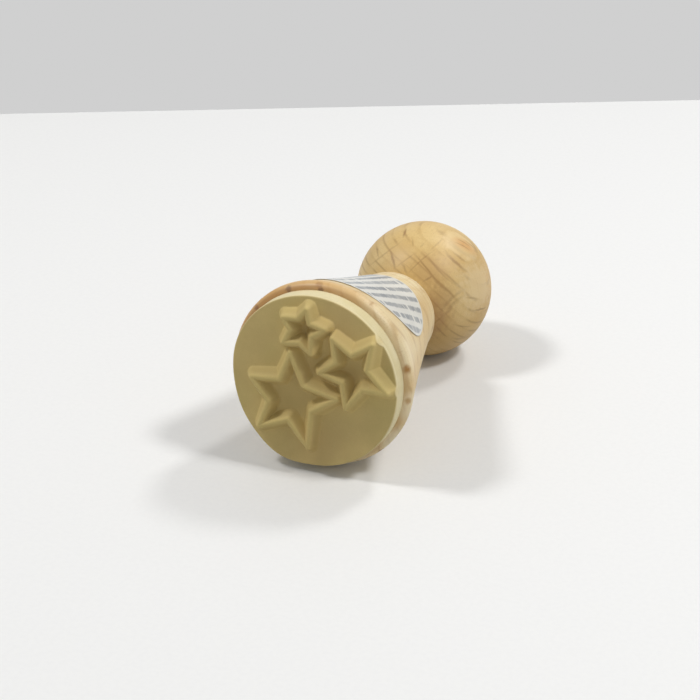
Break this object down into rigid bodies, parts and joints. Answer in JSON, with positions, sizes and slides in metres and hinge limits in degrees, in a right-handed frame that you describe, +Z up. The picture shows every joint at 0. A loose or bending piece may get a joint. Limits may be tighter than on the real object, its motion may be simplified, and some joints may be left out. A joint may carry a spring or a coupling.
{
  "type": "wooden rubber stamp",
  "caption": "Wooden hand stamp: turned beech cone with a ball grip, a round foam-backed rubber face with raised star outlines, and a plain paper label on the cone.",
  "frame": {"origin": "middle of the stamp's footprint on the table that it lies on", "axes": "+Z up from the table; the stamp lies along Y with its rubber face towards -Y, tipped up by 4.4 degrees, and its ball towards +Y; +X to the right of the rubber face as seen from the front"},
  "size_m": [0.054, 0.1106, 0.0539],
  "materials": {
    "handle_beech": "smooth turned beech, thinly waxed, satin",
    "ball_beech": "smooth turned beech with flecks, thinly waxed, satin",
    "dowel_wood": "plain fluted dowel, unfinished",
    "cream_cushion": "matte cream foam rubber with a cut edge",
    "khaki_rubber": "matte moulded rubber",
    "label_paper": "uncoated paper with faint plain ruled bars"
  },
  "bodies": {
    "root": {"handle_body": "handle_beech", "ball_knob": "ball_beech", "dowel_pin": "dowel_wood", "foam_cushion": "cream_cushion", "rubber_die": "khaki_rubber", "paper_label": "label_paper"}
  },
  "joints": []
}
